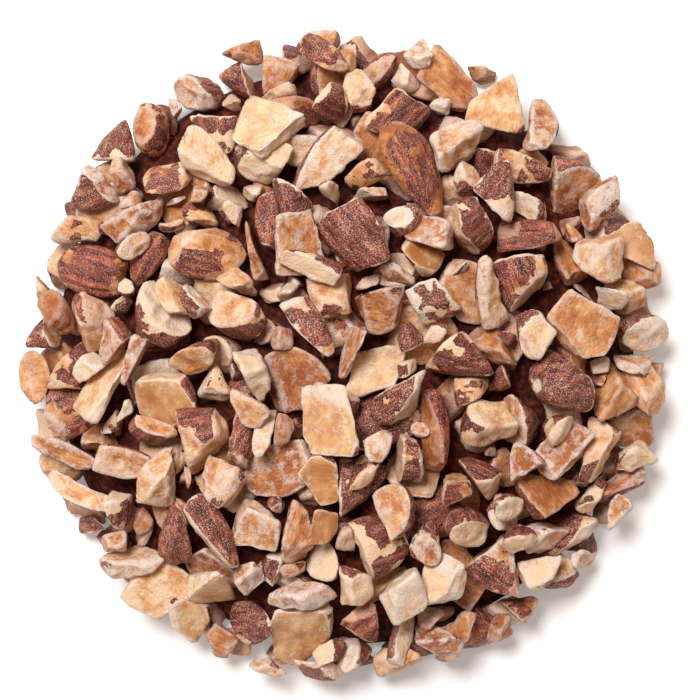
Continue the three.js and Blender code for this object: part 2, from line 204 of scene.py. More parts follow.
# A piece falls in several places and keeps the deepest. Then it rocks and slides, ever more calmly.
FALLS = 30
ROCKS = 18
CALMING = 0.8
LOOSE = dict(lean=0.25, slide=1.4)
FIRM = dict(lean=0.08, slide=0.8)

# One that doesn't fit is made smaller and tried again
SHRINKS = 2
SHRINK = 0.86
LEAD_SHRINK = 0.9

# How far a piece sinks into what it lies on, how far it may reach past the heap's edge, what height
# each millimetre past it is worth, and how much of the piece may lie over the lead pieces
BEDDING = 0.5
PAST_EDGE = 1
PAST_EDGE_COST = 6
COVER = 0.3
NO_LEADS = (0, -1)

# The grid that the heap's height is kept on, its spare cells on each side, and the area of a piece
# that has to show from above for it to be part of the solid
CELL = 0.5
SPARE_CELLS = 8
LEAST_SHOWN = 18

SEED = 7
TINY = 1e-6
WORD = 0xFFFFFFFF

# Three planes whose normals span less than this don't meet in a point
PARALLEL = 1e-3


def random_source(seed):
    """Makes the function that draws the random values from 0 to 1, the same ones for every run."""
    state = seed

    def draw():
        nonlocal state
        state = (state + 0x6D2B79F5) & WORD
        t = ((state ^ (state >> 15)) * (state | 1)) & WORD
        t ^= (t + (((t ^ (t >> 7)) * (t | 61)) & WORD)) & WORD
        return (t ^ (t >> 14)) / 2 ** 32

    return draw


draw = random_source(SEED)


def between(low, high):
    return low + (high - low) * draw()


def either(amount):
    return between(-amount, amount)


def taper(s):
    """How wide a kernel is at a share s of its length, with its whole width as 1."""
    return FILLED * s ** BLUNT * (1 - s) ** POINTED


def taper_slope(s):
    return taper(s) * (BLUNT / s - POINTED / (1 - s))


def plane(normal, point):
    """A plane as its unit normal and its distance from the kernel's middle."""
    n = np.array(normal, float)
    n /= math.sqrt(n @ n)
    return n, float(n @ np.array(point, float))


def tangent_plane(s, turn):
    """The plane that touches the kernel at a share of its length and a turn about it."""
    across = KERNEL["width"] / 2
    deep = KERNEL["thickness"] / 2
    t = taper(s)
    return plane(
        (-taper_slope(s) / KERNEL["length"], math.cos(turn) / across, math.sin(turn) / deep),
        (KERNEL["length"] * (s - 0.5), across * t * math.cos(turn), deep * t * math.sin(turn)),
    )


def chop(name):
    """The planes that bound a piece: first its cuts, then the kernel's outside as flats."""
    kind = KINDS[name]
    start = between(*kind["start"])
    end = start + between(*kind["run"])
    first = max(start, 0)
    last = min(end, 1)
    length = KERNEL["length"]

    def slant():
        return either(kind["slant"])

    lean = (slant(), slant()) if first > 0 else (0, 0)
    planes = [plane((-1, *lean), (length * (first - 0.5), 0, 0))]
    lean = (slant(), slant()) if last < 1 else (0, 0)
    planes.append(plane((1, *lean), (length * (last - 0.5), 0, 0)))
    sides = (
        (kind["across"][0], -1, 1, KERNEL["width"] / 2),
        (kind["across"][1], 1, 1, KERNEL["width"] / 2),
        (kind["deep"][0], -1, 2, KERNEL["thickness"] / 2),
        (kind["deep"][1], 1, 2, KERNEL["thickness"] / 2),
    )
    split = [False, False]
    for kept, way, axis, half in sides:
        if abs(kept) >= 1:
            continue
        normal = [slant(), slant(), slant()]
        normal[axis] = way
        point = [length * ((first + last) / 2 - 0.5), 0, 0]
        point[axis] = (kept + either(CUT_WANDER)) * half
        planes.append(plane(normal, point))
        split.append(axis == 2 and name in SPLIT_KINDS)
    flats = LONG_FLATS if last - first > LONG_PIECE else SHORT_FLATS
    for i, share in enumerate(flats["places"]):
        for k in range(flats["around"]):
            turn = 2 * math.pi * (k + SECOND_PLACE * i + FIRST_FLAT) / flats["around"]
            planes.append(tangent_plane(first + (last - first) * share, turn))
    normals = np.array([p[0] for p in planes])
    distances = np.array([p[1] for p in planes])
    return normals, distances, np.array(split)


def corners_of(normals, distances):
    """The points where three planes meet inside all the others."""
    i, j, k = np.array(list(combinations(range(len(normals)), 3))).T
    a, b, c = normals[i], normals[j], normals[k]
    bc = np.cross(b, c)
    volume = (bc * a).sum(axis=1)
    real = np.abs(volume) >= PARALLEL
    points = bc * distances[i, None]
    points += np.cross(c, a) * distances[j, None] + np.cross(a, b) * distances[k, None]
    points = points[real] / volume[real, None]
    return points[(points @ normals.T <= distances + TINY).all(axis=1)]


def chip(corners):
    """A cut across whichever corner or edge of a piece faces a random way."""
    normal = np.array((either(1), either(1), either(1)))
    normal /= math.sqrt(normal @ normal)
    heights = corners @ normal
    top = heights.max()
    return normal, top - between(*CHIP_DEPTH) * (top - heights.min())


def make_piece(name, size):
    """A new piece of a kind, about the middle of its corners."""
    normals, distances, split = chop(name)
    corners = corners_of(normals, distances)
    cuts = list(range(len(split)))
    for _ in range(CHIPS):
        normal, distance = chip(corners)
        cuts.append(len(normals))
        split = np.append(split, False)
        normals = np.vstack((normals, normal))
        distances = np.append(distances, distance)
        corners = corners_of(normals, distances)
    middle = corners.mean(axis=0)
    piece = dict(
        kind=name,
        normals=normals,
        distances=distances - normals @ middle,
        corners=corners - middle,
        middle=middle,
        cut_normals=normals[cuts],
        cut_distances=distances[cuts],
        split=split,
        size=1,
    )
    piece["reach"] = float(np.sqrt((piece["corners"] ** 2).sum(axis=1)).max())
    scale_piece(piece, size)
    return piece


def scale_piece(piece, by):
    piece["corners"] = piece["corners"] * by
    piece["distances"] = piece["distances"] * by
    piece["reach"] *= by
    piece["size"] *= by


def pick_kind():
    left = draw()
    for name, kind in KINDS.items():
        left -= kind["share"]
        if left < 0:
            return name
    return "block"


def mound_height(r):
    """The height of the heap's surface at a distance from its middle."""
    crown = 1 - np.minimum(r / HEAP["radius"], 1) ** HEAP["power"]
    return HEAP["rim"] + (HEAP["height"] - HEAP["rim"]) * crown


def bed_height(r):
    bank = BED["edge"] + BED["slope"] * (BED["radius"] - r)
    return np.where(r > BED["radius"], 0, np.minimum(mound_height(r) - BED["depth"], bank))


def product(a, b):
    """Two turns as one, b first. A turn is a quaternion as x, y, z, w."""
    ax, ay, az, aw = a
    bx, by, bz, bw = b
    return np.array((
        aw * bx + ax * bw + ay * bz - az * by,
        aw * by + ay * bw + az * bx - ax * bz,
        aw * bz + az * bw + ax * by - ay * bx,
        aw * bw - ax * bx - ay * by - az * bz,
    ))


def matrix_of(turn):
    x, y, z, w = turn
    return np.array((
        (1 - 2 * (y * y + z * z), 2 * (x * y - z * w), 2 * (x * z + y * w)),
        (2 * (x * y + z * w), 1 - 2 * (x * x + z * z), 2 * (y * z - x * w)),
        (2 * (x * z - y * w), 2 * (y * z + x * w), 1 - 2 * (x * x + y * y)),
    ))


def any_turn():
    a, b, c = draw(), 2 * math.pi * draw(), 2 * math.pi * draw()
    near, far = math.sqrt(1 - a), math.sqrt(a)
    return np.array((near * math.sin(b), near * math.cos(b), far * math.sin(c), far * math.cos(c)))


# The heap so far, seen from above: its height in each cell of the grid, and which piece is on top
HALF_GRID = math.ceil(HEAP["radius"] / CELL) + SPARE_CELLS
GRID = 2 * HALF_GRID + 1
AXIS = (np.arange(GRID) - HALF_GRID) * CELL
AWAY = np.hypot(AXIS[None, :], AXIS[:, None])
surface = bed_height(AWAY)
owner = np.full((GRID, GRID), -1)
heap = []


def nearest_cell(v):
    return min(max(math.floor(v / CELL + 0.5) + HALF_GRID, 0), GRID - 1)


def footprint(piece, turn, x, y):
    """The part of the grid under a turned piece, where the piece is in it, its bottom and top."""
    normals = piece["normals"] @ matrix_of(turn).T
    columns = slice(nearest_cell(x - piece["reach"]), nearest_cell(x + piece["reach"]) + 1)
    rows = slice(nearest_cell(y - piece["reach"]), nearest_cell(y + piece["reach"]) + 1)
    room = (
        piece["distances"][:, None, None]
        - normals[:, 0, None, None] * (AXIS[columns] - x)[None, None, :]
        - normals[:, 1, None, None] * (AXIS[rows] - y)[None, :, None]
    )
    rise = normals[:, 2]
    up = rise > TINY
    down = rise < -TINY
    high = (room[up] / rise[up, None, None]).min(axis=0)
    low = (room[down] / rise[down, None, None]).max(axis=0)
    upright = ~(up | down)
    if upright.any():
        low[(room[upright] < 0).any(axis=0)] = np.inf
    return (rows, columns), high > low, low, high


def rest(piece, turn, x, y):
    """Where a turned piece comes to rest at x, y. To reach past the heap's edge costs height."""
    window, inside, low, _ = footprint(piece, turn, x, y)
    z = -float((piece["corners"] @ matrix_of(turn)[2]).min())
    past = 0.0
    if inside.any():
        z = max(z, float((surface[window] - BEDDING - low)[inside].max()))
        past = max(past, float(AWAY[window][inside].max()) - HEAP["radius"])
    return dict(turn=turn, x=x, y=y, z=z, past=past, cost=z + PAST_EDGE_COST * past)


def rock(piece, best, motion):
    """Rocks and slides a piece, ever more calmly, keeping each move that brings it lower."""
    for k in range(ROCKS):
        calm = 1 - CALMING * k / ROCKS
        lean = motion["lean"] * calm
        nudge = np.array((either(lean), either(lean), either(lean), 1.0))
        nudge /= math.sqrt(nudge @ nudge)
        x = best["x"] + either(motion["slide"] * calm)
        y = best["y"] + either(motion["slide"] * calm)
        trial = rest(piece, product(nudge, best["turn"]), x, y)
        if trial["cost"] < best["cost"]:
            best = trial
    return best


def fall(piece, reach):
    """Tries falls over a ring of the heap and keeps the one that ends deepest under its surface."""
    deepest = math.inf
    for _ in range(FALLS):
        r = math.sqrt(between(reach[0] ** 2, reach[1] ** 2))
        way = 2 * math.pi * draw()
        trial = rest(piece, any_turn(), r * math.cos(way), r * math.sin(way))
        depth = trial["cost"] - float(mound_height(r))
        if depth < deepest:
            best = trial
            deepest = depth
    return rock(piece, best, LOOSE)


def fits(piece, pose, leads, stage):
    """Whether a piece keeps to the mound and its edge, and leaves the lead pieces in sight."""
    if pose["past"] > PAST_EDGE:
        return False
    window, inside, _, high = footprint(piece, pose["turn"], pose["x"], pose["y"])
    if not inside.any():
        return True
    proud = (pose["z"] + high - mound_height(AWAY[window]))[inside].max()
    covered = (owner[window] >= leads[0]) & (owner[window] <= leads[1]) & inside
    return proud <= stage["over"] - stage["below"] and covered.sum() <= COVER * inside.sum()


def lay(piece, pose):
    """Adds a piece to the heap where it has come to rest."""
    window, inside, _, high = footprint(piece, pose["turn"], pose["x"], pose["y"])
    top = pose["z"] + high
    higher = inside & (top > surface[window])
    surface[window][higher] = top[higher]
    owner[window][higher] = len(heap)
    heap.append(piece | pose)


def settle(piece, pose, leads, stage, by, motion):
    """Lays the piece if it fits, and else makes it smaller and tries again."""
    for _ in range(SHRINKS):
        if fits(piece, pose, leads, stage):
            lay(piece, pose)
            return
        scale_piece(piece, by)
        pose = rock(piece, rest(piece, pose["turn"], pose["x"], pose["y"]), motion)


def fill(stage, leads):
    """Lets the pieces of one stage fall."""
    for _ in range(stage["tries"]):
        name = pick_kind()
        piece = make_piece(name, between(*stage["size"]))
        settle(piece, fall(piece, stage["reach"]), leads, stage, SHRINK, LOOSE)


def lay_leads():
    """Lays the lead pieces, and gives the first and last of their places in the heap."""
    first = len(heap)
    axes = ((0, 0, 1), (1, 0, 0), (0, 1, 0))
    for kind, east, north, heading, side, size in LEADS:
        piece = make_piece(kind, size * LEAD_SIZE)
        turn = np.array((0.0, 0.0, 0.0, 1.0))
        for axis, degrees in zip(axes, (heading, *FACES[side])):
            half = math.radians(degrees) / 2
            turn = product(turn, np.array((*(math.sin(half) * v for v in axis), math.cos(half))))
        start = rest(piece, turn, east * HEAP["radius"], north * HEAP["radius"])
        settle(piece, rock(piece, start, FIRM), (first, math.inf), TOP, LEAD_SHRINK, FIRM)
    return first, len(heap) - 1


fill(BURIED, NO_LEADS)
leads = lay_leads()
for stage in (RIM, UPPER, GAPS):
    fill(stage, leads)

# --- Each piece as a closed mesh, still in millimetres ---

# Each mesh starts as an icosahedron with its edges cut into steps. They are MESH_STEP long on a
# piece that shows well, and coarser on one that shows over less than WELL_SEEN square millimetres.
# EDGE_SHARE is an edge of the icosahedron as a share of its width. A piece that doesn't show has
# HIDDEN_STEPS, unless it lies further out than SEEN_FROM_SIDE.
MESH_STEP = 0.39
EDGE_SHARE = 0.55
HIDDEN_STEPS = 4
SEEN_STEPS = 6
MOST_STEPS = 22
WELL_SEEN = 12
HALF_HIDDEN = 0.55
SEEN_FROM_SIDE = 50

# How far edges are worn round: flakes least, and small pieces less, as a share of their reach
WEAR = 0.15
FLAKE_WEAR = 0.1
SMALL_WEAR = 0.025

# The relief on each surface: how far it is raised, then its bumps as their height, their width and
# whether they are folded into creases or ridges. Pieces under this reach have less of it.
RELIEF = {
    "rough": (0.14, ((0.28, 3.2, False), (-0.62, 2.6, True), (0.14, 1.2, False))),
    "smooth": (0, ((0.3, 4, False), (-0.2, 2.8, True), (0.05, 0.9, False))),
    "skin": (-0.12, ((0.42, (8, 1.7, 1.7), True), (0.14, 3.5, False))),
    "crumbs": (0, ((0.7, 2.4, False), (0.35, 1.1, False))),
}
FULL_RELIEF = 4.5

# The kernel's surface is worked out between these shares of its length, with a stiff pull past them
# and no less than a least steepness
INSIDE = (0.002, 0.998)
PULL = 40
LEAST_STEEP = 0.02

# Rays find the surface by halving, the grain of each piece starts anywhere in a wide range, and a
# piece with no split face has the nearest one far off
HALVINGS = 24
GRAIN_RANGE = 400
FAR_OFF = 9.0

# The middle of the solid's underside
MIDDLE = [(low + high) / 2 for low, high in zip(*CAD_BOX)]
CENTRE = np.array((*MIDDLE[:2], CAD_BOX[0][2])) * 1000

rng = np.random.default_rng(SEED)


@cache
def geodesic(steps):
    """A unit sphere: an icosahedron's faces cut into steps each way and pushed out."""
    edge = 2
    golden = (1 + math.sqrt(5)) / 2
    corners = np.array([
        p for a in (-1, 1) for b in (-golden, golden) for p in ((0, a, b), (a, b, 0), (b, 0, a))
    ], float)
    points, triangles = [], []
    for face in combinations(range(12), 3):
        a, b, c = corners[list(face)]
        sides = (np.linalg.norm(a - b), np.linalg.norm(b - c), np.linalg.norm(c - a))
        if max(sides) > edge + TINY:
            continue
        if np.cross(a, b) @ c < 0:
            b, c = c, b
        at = {}
        for i in range(steps + 1):
            for j in range(steps + 1 - i):
                at[i, j] = len(points)
                points.append((a * (steps - i - j) + b * i + c * j) / steps)
        for i, j in at:
            if i + j < steps:
                triangles.append((at[i, j], at[i + 1, j], at[i, j + 1]))
            if i + j < steps - 1:
                triangles.append((at[i + 1, j], at[i + 1, j + 1], at[i, j + 1]))
    points = np.array(points)
    points /= np.linalg.norm(points, axis=1, keepdims=True)
    _, first, merged = np.unique(points.round(6), axis=0, return_index=True, return_inverse=True)
    return points[first], merged.ravel()[np.array(triangles)]


def kernel_gap(points):
    """About how far points are outside the kernel, and the way out of it."""
    across = KERNEL["width"] / 2
    deep = KERNEL["thickness"] / 2
    s = points[:, 0] / KERNEL["length"] + 0.5
    inner = np.clip(s, *INSIDE)
    t = taper(inner)
    value = (points[:, 1] / across) ** 2 + (points[:, 2] / deep) ** 2 - t ** 2
    value += PULL * (s - inner) ** 2
    slope = -2 * t * taper_slope(inner) / KERNEL["length"]
    out = np.stack((slope, 2 * points[:, 1] / across ** 2, 2 * points[:, 2] / deep ** 2), axis=1)
    steep = np.linalg.norm(out, axis=1) + LEAST_STEEP
    return value / steep, out / steep[:, None]


def gaps(piece, points):
    """How far points are past the kernel's skin, then past each cut."""
    cuts = points @ piece["cut_normals"].T - piece["cut_distances"]
    return np.column_stack((kernel_gap(points)[0], cuts))


def worn_gap(gap, wear):
    """How far points are past the piece's surface, with its edges worn round."""
    most = gap.max(axis=1)
    return most + wear * np.log(np.exp((gap - most[:, None]) / wear).sum(axis=1))


def cast(piece, rays, wear):
    """Points where rays from the piece's middle leave it."""
    near = np.zeros(len(rays))
    far = np.full(len(rays), KERNEL["length"])
    for _ in range(HALVINGS):
        half = (near + far) / 2
        out = worn_gap(gaps(piece, piece["middle"] + rays * half[:, None]), wear) > 0
        far = np.where(out, half, far)
        near = np.where(out, near, half)
    return piece["middle"] + rays * near[:, None]


LATTICE_SIDE = 32
LATTICE = rng.uniform(-1, 1, (LATTICE_SIDE, LATTICE_SIDE, LATTICE_SIDE))


def noise(points):
    """Smooth random values from -1 to 1 with bumps about one unit across."""
    low = np.floor(points).astype(int)
    part = points - low
    part = part * part * (3 - 2 * part)
    total = np.zeros(len(points))
    for corner in np.ndindex(2, 2, 2):
        weight = np.prod(np.where(corner, part, 1 - part), axis=1)
        total += weight * LATTICE[tuple(((low + corner) % LATTICE_SIDE).T)]
    return total


def relief_on(surface, grain):
    """How far a surface stands out at each point of its grain."""
    raised, bumps = RELIEF[surface]
    for height, width, folded in bumps:
        wave = noise(grain / width)
        raised = raised + height * (abs(wave) if folded else wave)
    return raised


def shape_of(piece, steps):
    """The piece's mesh and what its finish needs to know at each point."""
    sphere, triangles = geodesic(steps)
    corners = piece["corners"] / piece["size"]
    rays = sphere * (corners.max(axis=0) - corners.min(axis=0))
    rays /= np.linalg.norm(rays, axis=1, keepdims=True)
    tone, dust, cover = rng.uniform(0, 1, 3)
    wear = FLAKE_WEAR if piece["kind"] == "flake" else WEAR
    wear = min(wear, SMALL_WEAR * piece["reach"]) / piece["size"]
    points = cast(piece, rays, wear)
    gap = gaps(piece, points)
    weight = np.exp((gap - gap.max(axis=1, keepdims=True)) / wear)
    weight /= weight.sum(axis=1, keepdims=True)
    normal = weight[:, :1] * kernel_gap(points)[1] + weight[:, 1:] @ piece["cut_normals"]
    normal /= np.linalg.norm(normal, axis=1, keepdims=True)
    split = np.concatenate(((False,), piece["split"]))
    grain = points * piece["size"] + rng.uniform(0, GRAIN_RANGE, 3)
    skin = weight[:, 0]
    smooth = weight[:, split].sum(axis=1)
    rough = 1 - skin - smooth
    relief = rough * relief_on("rough", grain)
    relief += smooth * relief_on("smooth", grain)
    relief += skin * relief_on("skin", grain)
    relief *= min(piece["reach"] / FULL_RELIEF, 1)
    turn = matrix_of(piece["turn"])
    placed = (points - piece["middle"]) * piece["size"] @ turn.T
    placed += (piece["x"], piece["y"], piece["z"])
    placed += relief[:, None] * (normal @ turn.T)
    placed[:, 2] = np.maximum(placed[:, 2], 0)
    past_split = np.where(split, gap, -np.inf).max(axis=1)
    past_others = np.where(split, -np.inf, gap).max(axis=1)
    return dict(
        points=placed,
        triangles=triangles,
        grain=grain,
        tone=tone,
        dust=dust,
        cover=cover,
        rim=np.maximum(-np.sort(gap, axis=1)[:, -2], 0) * piece["size"],
        skin=(gap[:, 0] - gap[:, 1:].max(axis=1)) * piece["size"],
        smooth=np.maximum(past_split - past_others, -FAR_OFF) * piece["size"],
        raised=rough * relief,
        deep=mound_height(np.hypot(placed[:, 0], placed[:, 1])) - placed[:, 2],
    )


def steps_for(piece, area):
    """How finely a piece is meshed, from its size and the area of it that shows from above."""
    if not area and math.hypot(piece["x"], piece["y"]) < SEEN_FROM_SIDE:
        return HIDDEN_STEPS
    fine = np.ptp(piece["corners"], axis=0).mean() * EDGE_SHARE / MESH_STEP
    if area <= WELL_SEEN:
        fine *= HALF_HIDDEN
    return int(np.clip(round(fine), SEEN_STEPS, MOST_STEPS))


# --- The pieces as objects, one for each kind ---

MM = 0.001

# The crumbs on the mound: how deep they are, how thin they get at its edge, and the mesh's rings
# and spokes
CRUMBS = 1.2
LEAST_CRUMBS = 0.05
BED_RINGS = 60
BED_SPOKES = 190

# What a piece's finish reads at each of its points. Tone, dust and cover are one random value each
# for the whole piece. Rim is how far the point is from the piece's nearest edge, skin and smooth
# how far it is inside the skin or a split face, raised how far it stands out on a rough break, and
# deep how far it is under the heap's surface, which the finish turns into painted shade.
FIELDS = ("tone", "dust", "cover", "rim", "skin", "smooth", "raised", "deep")
NODE = "almond_heap"

# The object that each kind of piece is in
NAMES = {
    "tip": "kernel_tips",
    "butt": "kernel_butts",
    "slice": "cross_slices",
    "half": "split_halves",
    "long": "long_halves",
    "stick": "sticks",
    "block": "blocks",
    "flake": "flakes",
}


def mesh_object(name, parts, material):
    """One mesh object from several closed parts, with the values that its finish reads."""
    starts = np.cumsum([0] + [len(p["points"]) for p in parts])
    points = np.concatenate([p["points"] for p in parts]) + SHIFT
    triangles = np.concatenate([p["triangles"] + start for p, start in zip(parts, starts)])
    mesh = bpy.data.meshes.new(name)
    mesh.from_pydata(points * MM, (), triangles)
    grain = np.concatenate([p["grain"] for p in parts]).astype(np.float32)
    mesh.attributes.new("grain", "FLOAT_VECTOR", "POINT").data.foreach_set("vector", grain.ravel())
    for field in FIELDS:
        values = np.concatenate([np.broadcast_to(p[field], len(p["points"])) for p in parts])
        values = values.astype(np.float32)
        mesh.attributes.new(field, "FLOAT", "POINT").data.foreach_set("value", values)
    mesh.shade_smooth()
    mesh.materials.append(material)
    batch = bpy.data.objects.new(name, mesh)
    bpy.context.scene.collection.objects.link(batch)
    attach(batch, "root")
    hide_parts(NODE)


def placed_corners(piece):
    """A piece's corners where it lies in the heap."""
    return piece["corners"] @ matrix_of(piece["turn"]).T + (piece["x"], piece["y"], piece["z"])


def crumb_bed():
    """The mound of fine crumbs under the pieces, closed by a flat underside."""
    steps = np.array((2 * math.pi / BED_SPOKES, BED["radius"] / BED_RINGS))
    way, r = np.mgrid[0:BED_SPOKES, 1:BED_RINGS + 1] * steps[:, None, None]
    x, y = (r * np.cos(way)).ravel(), (r * np.sin(way)).ravel()
    z = bed_height(r.ravel())
    strewn = np.clip(z, 0, 1)
    points = np.column_stack((x, y, z + strewn * CRUMBS))
    points[:, 2] += strewn * relief_on("crumbs", points)
    points[:, 2] = np.maximum(points[:, 2], LEAST_CRUMBS)
    at = np.arange(BED_SPOKES * BED_RINGS).reshape(BED_SPOKES, BED_RINGS)
    after = np.roll(at, -1, axis=0)
    top, under = len(points), len(points) + 1
    triangles = [np.stack(f, axis=-1).reshape(-1, 3) for f in (
        (at[:, :-1], at[:, 1:], after[:, 1:]),
        (at[:, :-1], after[:, 1:], after[:, :-1]),
        (np.full(BED_SPOKES, top), at[:, 0], after[:, 0]),
        (np.full(BED_SPOKES, under), after[:, -1], at[:, -1]),
    )]
    points = np.vstack((points, (0, 0, HEAP["height"] - BED["depth"] + CRUMBS), (0, 0, 0)))
    shape = dict(points=points, triangles=np.concatenate(triangles), grain=points)
    return shape | dict.fromkeys(FIELDS, 0)


def shown_areas():
    """How much of each piece shows from above, in square millimetres."""
    return np.bincount(owner[owner >= 0], minlength=len(heap)) * CELL ** 2


# The solid is centred by the pieces that show well, and the bits below them come after it
seen = [p for p, area in zip(heap, shown_areas()) if area >= LEAST_SHOWN]
shown = np.concatenate([placed_corners(p) for p in seen])
SHIFT = CENTRE - (*((shown.min(axis=0) + shown.max(axis=0))[:2] / 2), 0)
for stage in (BROKEN, INNER, BITS):
    fill(stage, leads)
areas = shown_areas()

# --- Finishes, with the sizes of their patterns in millimetres ---

# The fibres and wrinkles of the skin, drawn out along the kernel
FIBRE = 0.45
RIDGE = 0.95
DRAWN_OUT = (0.16, 1, 1)

# The crumbly break of the flesh
CRUMBLE = 1.1

# The real grit of the break and the dust of sugar on it are under 0.1 mm, too fine to show, so both
# are drawn as coarse as they need to be
GRIT = 0.32
SUGAR = 0.2

# The drifts of that dust, the clouds of lighter and darker flesh, and the bites out of the skin
DRIFT = 2
MOTTLE = 3.2
BITE = 4.5

# How deep the bumps are, and how far light gets into the flesh
BREAK_DEPTH = 0.22
LUMP_DEPTH = 0.3
LIGHT_DEPTH = 0.8


def linear(colour):
    """A hex sRGB colour as linear red, green, blue and alpha."""
    parts = [int(colour[k:k + 2], 16) / 255 for k in (1, 3, 5)]
    return (*(c / 12.92 if c <= 0.04045 else ((c + 0.055) / 1.055) ** 2.4 for c in parts), 1)


def add(tree, kind, values=(), give=None, stops=(), **settings):
    """Adds a node with its settings, ramp stops and inputs, and gives one of its outputs."""
    node = tree.nodes.new("ShaderNode" + kind)
    for name, value in settings.items():
        setattr(node, name, value)
    for k, (place, colour) in enumerate(stops):
        elements = node.color_ramp.elements
        stop = elements[k] if k < 2 else elements.new(place)
        stop.position = place
        stop.color = linear(colour)
    live = [socket for socket in node.inputs if socket.enabled]
    for name, value in values.items() if isinstance(values, dict) else enumerate(values):
        socket = node.inputs[name] if isinstance(name, str) else live[name]
        if isinstance(value, bpy.types.NodeSocket):
            tree.links.new(value, socket)
        else:
            socket.default_value = value
    if give:
        return node.outputs[give]
    return next((out for out in node.outputs if out.enabled), None)


def blank_material(name):
    """A new material and its node tree, with nothing in it yet."""
    material = bpy.data.materials.new(name)
    material.use_nodes = True
    material.node_tree.nodes.clear()
    return material, material.node_tree


def toasted_almond():
    """Almond roasted in toffee: ridged papery skin over dry broken flesh, under a dust of sugar.

    The skin is dark and streaked lengthwise, the flesh runs from cream at its edges to caramel
    where the toffee soaked in, and split faces are smoother and waxy. Painted shade darkens the
    skin's grooves and everything deep in the heap, and painted highlight lightens the skin's ridge
    tops.
    """
    material, tree = blank_material("toasted_almond")
    grain = add(tree, "Attribute", give="Vector", attribute_name="grain")
    tone, dust, cover, rim, skin, smooth, raised, deep = (
        add(tree, "Attribute", give="Fac", attribute_name=name) for name in FIELDS
    )
    drawn_out = add(tree, "VectorMath", [grain, DRAWN_OUT], operation="MULTIPLY")
    fibres = add(tree, "TexNoise", {
        "Vector": drawn_out, "Scale": 1 / FIBRE, "Detail": 3, "Roughness": 0.6,
    })
    worn = add(tree, "TexNoise", {
        "Vector": grain, "Scale": 1 / CRUMBLE, "Detail": 5, "Roughness": 0.65,
    })
    grit = add(tree, "TexNoise", {"Vector": grain, "Scale": 1 / GRIT, "Detail": 2})

    # Flesh: caramel to tan inside a face
    mottle = add(tree, "TexNoise", {
        "Vector": grain, "Scale": 1 / MOTTLE, "Detail": 6, "Roughness": 0.66,
    })
    mottle = add(tree, "Math", [fibres, 0.3, mottle], operation="MULTIPLY_ADD")
    mottle = add(tree, "Math", [tone, 0.45, mottle], operation="MULTIPLY_ADD")
    flesh = add(tree, "ValToRGB", [mottle], stops=(
        (0.62, "#a35a2b"), (0.78, "#c9854e"), (0.91, "#dfab7a"), (1.00, "#ebcaa5"),
    ))

    # Chalky where it is worn: along its edges, on its crests and in drifts of powder
    edge = add(tree, "Math", [worn, 3.4, rim], operation="MULTIPLY_ADD")
    chalk = add(tree, "MapRange", [edge, 1.85, 2.6, 1, 0], interpolation_type="SMOOTHSTEP")
    crest = add(tree, "Math", [worn, 0.8, raised], operation="MULTIPLY_ADD")
    crest = add(tree, "MapRange", [crest, 0.5, 0.64, 0, 0.85], interpolation_type="SMOOTHSTEP")
    chalk = add(tree, "Math", [chalk, crest], operation="MAXIMUM")
    powder = add(tree, "TexNoise", {
        "Vector": grain, "Scale": 1 / DRIFT, "Detail": 6, "Roughness": 0.72,
    })
    powder = add(tree, "Math", [dust, 0.14, powder], operation="MULTIPLY_ADD")
    drifted = add(tree, "MapRange", [powder, 0.58, 0.7, 0, 0.65], interpolation_type="SMOOTHSTEP")
    chalk = add(tree, "Math", [chalk, drifted], operation="MAXIMUM")
    gritty = add(tree, "MapRange", [grit, 0.3, 0.55, 0.6, 1], interpolation_type="SMOOTHSTEP")
    chalk = add(tree, "Math", [chalk, gritty], operation="MULTIPLY")
    dusted = add(tree, "Math", [dust, 0.7, 0.25], operation="MULTIPLY_ADD")
    chalk = add(tree, "Math", [chalk, dusted], operation="MULTIPLY")
    flesh = add(tree, "Mix", [chalk, flesh, linear("#e6dad2")], data_type="RGBA")

    # Split faces: waxy, cream or tan, with a thin pale edge
    sheen = add(tree, "TexNoise", {
        "Vector": grain, "Scale": 1 / MOTTLE, "Detail": 5, "Roughness": 0.6,
    })
    sheen = add(tree, "Math", [dust, 0.5, sheen], operation="MULTIPLY_ADD")
    wax = add(tree, "ValToRGB", [sheen], stops=(
        (0.57, "#b97c4a"), (0.74, "#d5a06f"), (0.95, "#eecb9f"),
    ))
    thin_edge = add(tree, "MapRange", [edge, 1.3, 2.2, 0.55, 0], interpolation_type="SMOOTHSTEP")
    wax = add(tree, "Mix", [thin_edge, wax, linear("#ecd3c0")], data_type="RGBA")
    waxy = add(tree, "MapRange", [smooth, 0, 0.3], interpolation_type="SMOOTHSTEP")
    clean = add(tree, "MapRange", [tone, 0.68, 0.74], interpolation_type="SMOOTHSTEP")
    waxy = add(tree, "Math", [waxy, clean], operation="MULTIPLY")
    bare = add(tree, "MapRange", [powder, 0.6, 0.68, 1, 0.35], interpolation_type="SMOOTHSTEP")
    waxy = add(tree, "Math", [waxy, bare], operation="MULTIPLY")
    flesh = add(tree, "Mix", [waxy, flesh, wax], data_type="RGBA")

    # Skin: dark and ridged lengthwise, dull where it is thick. Its colour partly follows its own
    # streaks and partly the ridges' height: painted shade in the grooves, painted orange-brown
    # highlight on the ridge tops
    ridges = add(tree, "TexNoise", {
        "Vector": drawn_out, "Scale": 1 / RIDGE, "Detail": 5, "Roughness": 0.6,
    })
    # Painted shade and painted highlight: the ridges that raise the bump run from near black in the
    # grooves to orange-brown on the tops
    papery = add(tree, "ValToRGB", [ridges], stops=(
        (0.36, "#340a05"), (0.46, "#6c1d0e"), (0.56, "#9a3918"), (0.70, "#d07532"),
    ))
    dull = add(tree, "TexNoise", {"Vector": grain, "Scale": 1 / MOTTLE, "Detail": 4})
    dull = add(tree, "MapRange", [dull, 0.42, 0.58, 0, 0.6], interpolation_type="SMOOTHSTEP")
    papery = add(tree, "Mix", [dull, papery, linear("#702314")], data_type="RGBA")
    shade = add(tree, "Math", [tone, 0.45], operation="MULTIPLY")
    papery = add(tree, "Mix", [shade, papery, linear("#5a1408")], data_type="RGBA")

